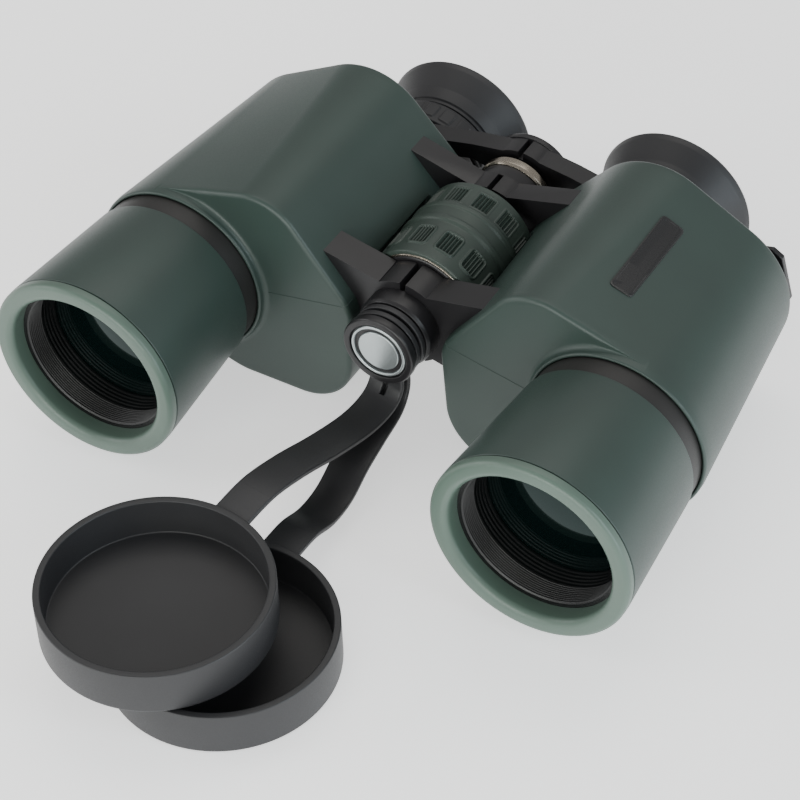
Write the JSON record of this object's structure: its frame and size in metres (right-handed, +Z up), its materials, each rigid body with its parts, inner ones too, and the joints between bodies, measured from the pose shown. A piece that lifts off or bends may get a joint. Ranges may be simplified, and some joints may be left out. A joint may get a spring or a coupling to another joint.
{
  "type": "porro prism binoculars",
  "caption": "Rubber-armoured Porro prism binoculars with a folding hinge, centre focusing wheel, diopter ring, rubber eyecups and tethered objective caps.",
  "frame": {"origin": "on the surface the binoculars stand on, in the hinge plane, midway between the eyecup rims and the front of the caps", "axes": "+X to the user's left, +Y from the objectives to the eyepieces, +Z up"},
  "size_m": [0.1838, 0.2204, 0.0632],
  "materials": {
    "rim_rubber": "satin moulded rubber, lighter green",
    "barrel_rubber": "satin green rubber",
    "armour_rubber": "satin green rubber armour",
    "black_plastic": "matt moulded plastic",
    "matt_black_metal": "black anodised, matt",
    "coated_glass": "green multi-coated",
    "prism_glass": "polished",
    "plate_metal": "sandblasted",
    "screw_steel": "turned",
    "bridge_black": "satin black powder coat",
    "badge_black": "semi-gloss plate with a thin pale border",
    "emblem_silver": "bright brushed",
    "ring_gunmetal": "polished gunmetal",
    "wheel_metal": "satin black",
    "wheel_rubber": "ribbed green rubber",
    "black_rubber": "soft matt rubber"
  },
  "bodies": {
    "right_half": {"right_rim": "rim_rubber", "right_barrel": "barrel_rubber", "right_tube": "matt_black_metal", "right_band": "black_plastic", "right_liner": "matt_black_metal", "right_lens_ring": "matt_black_metal", "right_objective": "coated_glass", "right_armour": "armour_rubber", "right_housing": "black_plastic", "right_prism_plate": "plate_metal", "right_rear_prism": "prism_glass", "right_front_prism": "prism_glass", "right_rear_cover": "black_plastic", "right_cover_screws": "screw_steel", "right_front_lug": "bridge_black", "right_rear_lug": "bridge_black", "right_strap_lug": "bridge_black", "hinge_axle": "screw_steel", "hinge_collar": "bridge_black", "front_cap": "bridge_black", "emblem": "emblem_silver", "rear_sleeve": "bridge_black", "sleeve_ring": "ring_gunmetal"},
    "left_half": {"left_rim": "rim_rubber", "left_barrel": "barrel_rubber", "left_tube": "matt_black_metal", "left_band": "black_plastic", "left_liner": "matt_black_metal", "left_lens_ring": "matt_black_metal", "left_objective": "coated_glass", "left_armour": "armour_rubber", "left_housing": "black_plastic", "left_prism_plate": "plate_metal", "left_rear_prism": "prism_glass", "left_front_prism": "prism_glass", "left_rear_cover": "black_plastic", "left_cover_screws": "screw_steel", "left_front_lug": "bridge_black", "left_rear_lug": "bridge_black", "left_strap_lug": "bridge_black", "badge_plate": "badge_black"},
    "focus_wheel": {"wheel_core": "wheel_metal", "wheel_grip": "wheel_rubber", "wheel_flange": "wheel_metal"},
    "right_bridge": {"focus_screw": "screw_steel", "bridge_end_cap": "bridge_black", "right_bridge_arm": "bridge_black", "right_eye_tube": "matt_black_metal"},
    "left_bridge": {"left_bridge_arm": "bridge_black", "left_eye_tube": "matt_black_metal", "left_eye_lens": "coated_glass", "left_eyecup": "black_rubber"},
    "diopter": {"diopter_ring": "black_rubber"},
    "right_eyepiece": {"right_eye_barrel": "matt_black_metal", "right_eye_lens": "coated_glass", "right_eyecup": "black_rubber"},
    "right_strap": {"right_cap_strap": "black_rubber"},
    "left_strap": {"left_cap_strap": "black_rubber"},
    "right_objective_cap": {"right_cap": "black_rubber"},
    "left_objective_cap": {"left_cap": "black_rubber"}
  },
  "joints": [
    {"name": "fold", "type": "hinge", "parent": "right_half", "child": "left_half", "pos_m": [0, 0.03676, 0.0351], "axis": [0, 1, 0], "range_deg": [-4, 36]},
    {"name": "focus_turn", "type": "hinge", "parent": "right_half", "child": "focus_wheel", "pos_m": [0, 0.03676, 0.0351], "axis": [0, 1, 0], "range_deg": [-30, 420]},
    {"name": "focus_travel_right", "type": "slide", "parent": "right_half", "child": "right_bridge", "axis": [0, 1, 0], "range_m": [-0.00053, 0.00746]},
    {"name": "focus_travel_left", "type": "slide", "parent": "left_half", "child": "left_bridge", "axis": [0, 1, 0], "range_m": [-0.00053, 0.00746]},
    {"name": "diopter_turn", "type": "hinge", "parent": "right_bridge", "child": "diopter", "pos_m": [-0.03385, 0.09176, 0.023], "axis": [0, 1, 0], "range_deg": [-45, 45]},
    {"name": "diopter_travel", "type": "slide", "parent": "right_bridge", "child": "right_eyepiece", "axis": [0, 1, 0], "range_m": [-0.00094, 0.00094]},
    {"name": "right_strap_swing", "type": "hinge", "parent": "right_half", "child": "right_strap", "pos_m": [0, 0.03676, 0.0351], "axis": [0, 1, 0], "range_deg": [-40, 40]},
    {"name": "left_strap_swing", "type": "hinge", "parent": "right_half", "child": "left_strap", "pos_m": [0, 0.03676, 0.0351], "axis": [0, 1, 0], "range_deg": [-40, 40]},
    {"name": "right_cap_flex", "type": "hinge", "parent": "right_strap", "child": "right_objective_cap", "pos_m": [-0.00696, -0.05205, 0.0263], "axis": [-0.9938, 0.1115, 0], "range_deg": [0, 80], "stiffness_Nm_per_rad": 0.02},
    {"name": "left_cap_flex", "type": "hinge", "parent": "left_strap", "child": "left_objective_cap", "pos_m": [0.00224, -0.04569, 0.0108], "axis": [-0.9993, -0.0384, 0], "range_deg": [-30, 0], "stiffness_Nm_per_rad": 0.02}
  ],
  "couplings": [
    {"joint": "focus_turn", "follows": "focus_travel_right", "rad_per_m": 981.75},
    {"joint": "focus_travel_left", "follows": "focus_travel_right", "ratio": 1},
    {"joint": "diopter_turn", "follows": "diopter_travel", "rad_per_m": 833.33},
    {"joint": "left_strap_swing", "follows": "right_strap_swing", "ratio": 1}
  ]
}
